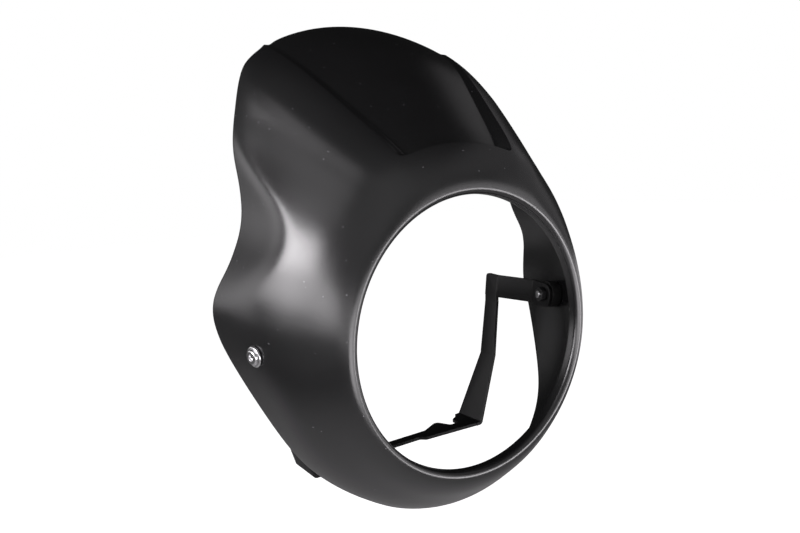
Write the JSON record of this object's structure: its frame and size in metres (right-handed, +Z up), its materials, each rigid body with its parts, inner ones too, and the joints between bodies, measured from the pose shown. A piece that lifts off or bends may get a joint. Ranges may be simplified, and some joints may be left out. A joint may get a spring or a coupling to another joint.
{
  "type": "motorbike headlight cowl",
  "caption": "Matte black moulded cowl around a round motorbike headlight, with a tall sunk crown panel, side bolts and a bent strap bracket inside.",
  "frame": {"origin": "centre of the cylindrical lamp seat, on the lamp's axis", "axes": "+X to the right when the cowl is seen from the front, +Y rearward along the lamp's axis, +Z up"},
  "size_m": [0.2798, 0.135, 0.3467],
  "materials": {
    "shell": "satin to matte black paint with a fine grain",
    "bracket": "satin black coating",
    "bolts": "polished stainless steel",
    "washers": "polished stainless steel",
    "spacers": "black rubber",
    "nuts": "black oxide"
  },
  "bodies": {
    "root": {"cowl_shell": "shell", "mounting_bracket": "bracket", "left_bolt": "bolts", "right_bolt": "bolts", "left_washer": "washers", "right_washer": "washers", "left_spacer": "spacers", "right_spacer": "spacers", "left_nut": "nuts", "right_nut": "nuts"}
  },
  "joints": []
}
